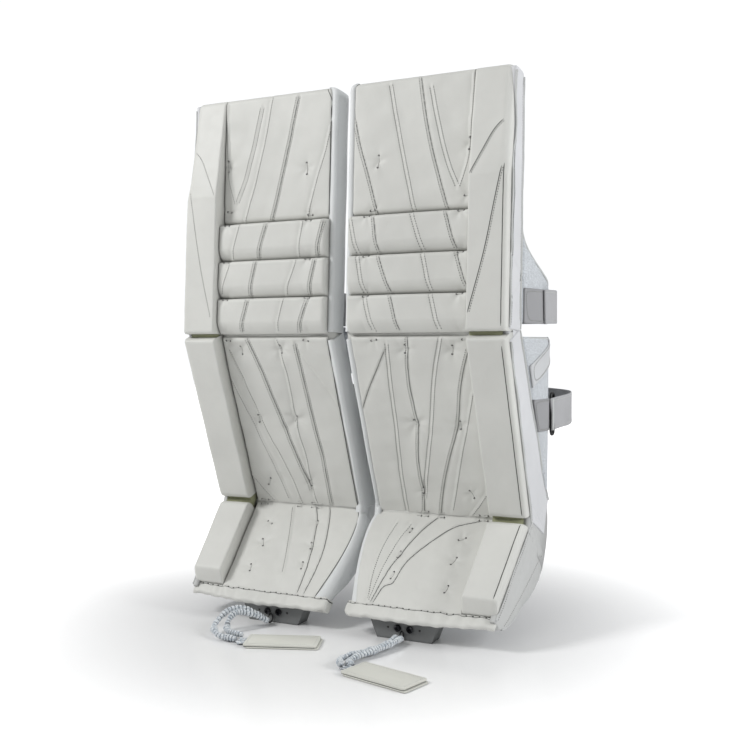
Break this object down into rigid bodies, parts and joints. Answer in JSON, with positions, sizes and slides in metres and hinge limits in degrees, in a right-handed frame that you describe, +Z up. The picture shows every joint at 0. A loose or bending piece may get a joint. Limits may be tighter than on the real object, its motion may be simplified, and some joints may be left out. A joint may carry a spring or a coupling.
{
  "type": "hockey goalie leg pads",
  "caption": "Pair of ice hockey goalie leg pads with knee rolls, raised outer rolls, flexing knee and boot, leg wings, straps and toe ties.",
  "frame": {"origin": "centre of the bounding box's underside, on the floor between the two toes", "axes": "+Z up; -Y is the front that faces the shooter; +X runs to the wearer's left pad"},
  "size_m": [0.6238, 0.5096, 0.8801],
  "materials": {
    "face_leather": "soft satin white synthetic leather",
    "roll_leather": "smooth satin white synthetic leather",
    "wall_leather": "matt pale grey synthetic leather",
    "foam_core": "closed-cell foam under a fabric cover",
    "liner_mesh": "brushed white mesh lining",
    "strap_web": "pale grey elastic webbing",
    "bridge_plastic": "moulded mid-grey nylon",
    "bolt_steel": "black oxide steel",
    "cord_sleeve": "gathered white fabric sleeve over elastic cord",
    "black_plastic": "black nylon",
    "tab_leather": "matt white hook-and-loop tab"
  },
  "bodies": {
    "shin_left": {"shin_core_left": "foam_core", "shin_face_left": "face_leather", "shin_outer_roll_left": "roll_leather", "shin_side_wall_left": "wall_leather", "leg_channel_left": "liner_mesh", "knee_block_left": "liner_mesh"},
    "thigh_left": {"thigh_core_left": "foam_core", "thigh_face_left": "face_leather", "knee_roll_lower_left": "face_leather", "knee_roll_middle_left": "face_leather", "knee_roll_upper_left": "face_leather", "thigh_outer_roll_left": "roll_leather", "thigh_side_wall_left": "wall_leather"},
    "boot_left": {"boot_core_left": "foam_core", "boot_face_left": "face_leather", "boot_outer_roll_left": "roll_leather", "boot_side_wall_left": "wall_leather", "boot_inner_wall_left": "wall_leather", "toe_bridge_left": "bridge_plastic", "toe_bridge_bolt_inner_left": "bolt_steel", "toe_bridge_bolt_outer_left": "bolt_steel", "toe_tie_ring_left": "black_plastic"},
    "knee_wing_left": {"knee_wing_left": "liner_mesh"},
    "knee_strap_left": {"knee_strap_left": "strap_web"},
    "calf_wing_outer_left": {"calf_wing_outer_left": "liner_mesh"},
    "calf_wing_inner_left": {"calf_wing_inner_left": "liner_mesh"},
    "calf_loop_left": {"calf_strap_loop_left": "black_plastic"},
    "calf_strap_left": {"calf_strap_left": "strap_web"},
    "toe_tie_left": {"toe_tie_cord_left": "cord_sleeve"},
    "toe_tab_left": {"toe_tie_tab_left": "tab_leather"},
    "shin_right": {"shin_core_right": "foam_core", "shin_face_right": "face_leather", "shin_outer_roll_right": "roll_leather", "shin_side_wall_right": "wall_leather", "leg_channel_right": "liner_mesh", "knee_block_right": "liner_mesh"},
    "thigh_right": {"thigh_core_right": "foam_core", "thigh_face_right": "face_leather", "knee_roll_lower_right": "face_leather", "knee_roll_middle_right": "face_leather", "knee_roll_upper_right": "face_leather", "thigh_outer_roll_right": "roll_leather", "thigh_side_wall_right": "wall_leather"},
    "boot_right": {"boot_core_right": "foam_core", "boot_face_right": "face_leather", "boot_outer_roll_right": "roll_leather", "boot_side_wall_right": "wall_leather", "boot_inner_wall_right": "wall_leather", "toe_bridge_right": "bridge_plastic", "toe_bridge_bolt_inner_right": "bolt_steel", "toe_bridge_bolt_outer_right": "bolt_steel", "toe_tie_ring_right": "black_plastic"},
    "knee_wing_right": {"knee_wing_right": "liner_mesh"},
    "knee_strap_right": {"knee_strap_right": "strap_web"},
    "calf_wing_outer_right": {"calf_wing_outer_right": "liner_mesh"},
    "calf_wing_inner_right": {"calf_wing_inner_right": "liner_mesh"},
    "calf_loop_right": {"calf_strap_loop_right": "black_plastic"},
    "calf_strap_right": {"calf_strap_right": "strap_web"},
    "toe_tie_right": {"toe_tie_cord_right": "cord_sleeve"},
    "toe_tab_right": {"toe_tie_tab_right": "tab_leather"}
  },
  "joints": [
    {"name": "thigh_flex_left", "type": "hinge", "parent": "shin_left", "child": "thigh_left", "pos_m": [0.1505, 0.0157, 0.4825], "axis": [1, 0, 0], "range_deg": [-10, 7]},
    {"name": "boot_flex_left", "type": "hinge", "parent": "shin_left", "child": "boot_left", "pos_m": [0.1505, 0.0832, 0.178], "axis": [1, 0, 0], "range_deg": [-12, 10]},
    {"name": "knee_wing_swing_left", "type": "hinge", "parent": "thigh_left", "child": "knee_wing_left", "pos_m": [0.29, 0.0224, 0.56], "axis": [0, -0.061, -0.9981], "range_deg": [0, 45]},
    {"name": "knee_strap_swing_left", "type": "hinge", "parent": "knee_wing_left", "child": "knee_strap_left", "pos_m": [0.304, 0.0898, 0.519], "axis": [0, 0, -1], "range_deg": [0, 95]},
    {"name": "calf_wing_outer_swing_left", "type": "hinge", "parent": "shin_left", "child": "calf_wing_outer_left", "pos_m": [0.29, 0.0841, 0.35], "axis": [0, 0.4504, -0.8928], "range_deg": [0, 40]},
    {"name": "calf_wing_inner_swing_left", "type": "hinge", "parent": "shin_left", "child": "calf_wing_inner_left", "pos_m": [0.024, 0.0922, 0.283], "axis": [0, 0.3502, -0.9367], "range_deg": [0, 18]},
    {"name": "calf_loop_turn_left", "type": "hinge", "parent": "calf_wing_outer_left", "child": "calf_loop_left", "pos_m": [0.2985, 0.1398, 0.346], "axis": [0, 0, -1], "range_deg": [0, 30]},
    {"name": "calf_strap_swing_left", "type": "hinge", "parent": "calf_loop_left", "child": "calf_strap_left", "pos_m": [0.3, 0.1558, 0.346], "axis": [0, 0, -1], "range_deg": [0, 95]},
    {"name": "toe_tie_lift_left", "type": "hinge", "parent": "boot_left", "child": "toe_tie_left", "pos_m": [0.119, -0.0482, 0.009], "axis": [-1, 0, 0], "range_deg": [0, 35]},
    {"name": "toe_tab_lift_left", "type": "hinge", "parent": "toe_tie_left", "child": "toe_tab_left", "pos_m": [0.112, -0.2002, 0], "axis": [-0.2488, -0.9686, 0], "range_deg": [0, 50]},
    {"name": "pad_separation", "type": "slide", "parent": "shin_left", "child": "shin_right", "axis": [-1, 0, 0], "range_m": [0, 0.3]},
    {"name": "thigh_flex_right", "type": "hinge", "parent": "shin_right", "child": "thigh_right", "pos_m": [-0.1505, 0.0157, 0.4825], "axis": [1, 0, 0], "range_deg": [-10, 7]},
    {"name": "boot_flex_right", "type": "hinge", "parent": "shin_right", "child": "boot_right", "pos_m": [-0.1505, 0.0832, 0.178], "axis": [1, 0, 0], "range_deg": [-12, 10]},
    {"name": "knee_wing_swing_right", "type": "hinge", "parent": "thigh_right", "child": "knee_wing_right", "pos_m": [-0.29, 0.0224, 0.56], "axis": [0, 0.061, 0.9981], "range_deg": [0, 45]},
    {"name": "knee_strap_swing_right", "type": "hinge", "parent": "knee_wing_right", "child": "knee_strap_right", "pos_m": [-0.304, 0.0898, 0.519], "axis": [0, 0, 1], "range_deg": [0, 95]},
    {"name": "calf_wing_outer_swing_right", "type": "hinge", "parent": "shin_right", "child": "calf_wing_outer_right", "pos_m": [-0.29, 0.0841, 0.35], "axis": [0, -0.4504, 0.8928], "range_deg": [0, 40]},
    {"name": "calf_wing_inner_swing_right", "type": "hinge", "parent": "shin_right", "child": "calf_wing_inner_right", "pos_m": [-0.024, 0.0922, 0.283], "axis": [0, -0.3502, 0.9367], "range_deg": [0, 18]},
    {"name": "calf_loop_turn_right", "type": "hinge", "parent": "calf_wing_outer_right", "child": "calf_loop_right", "pos_m": [-0.2985, 0.1398, 0.346], "axis": [0, 0, 1], "range_deg": [0, 30]},
    {"name": "calf_strap_swing_right", "type": "hinge", "parent": "calf_loop_right", "child": "calf_strap_right", "pos_m": [-0.3, 0.1558, 0.346], "axis": [0, 0, 1], "range_deg": [0, 95]},
    {"name": "toe_tie_lift_right", "type": "hinge", "parent": "boot_right", "child": "toe_tie_right", "pos_m": [-0.119, -0.0482, 0.009], "axis": [-1, 0, 0], "range_deg": [0, 18]},
    {"name": "toe_tab_lift_right", "type": "hinge", "parent": "toe_tie_right", "child": "toe_tab_right", "pos_m": [-0.095, -0.1562, 0], "axis": [0.3417, -0.9398, 0], "range_deg": [0, 50]}
  ]
}
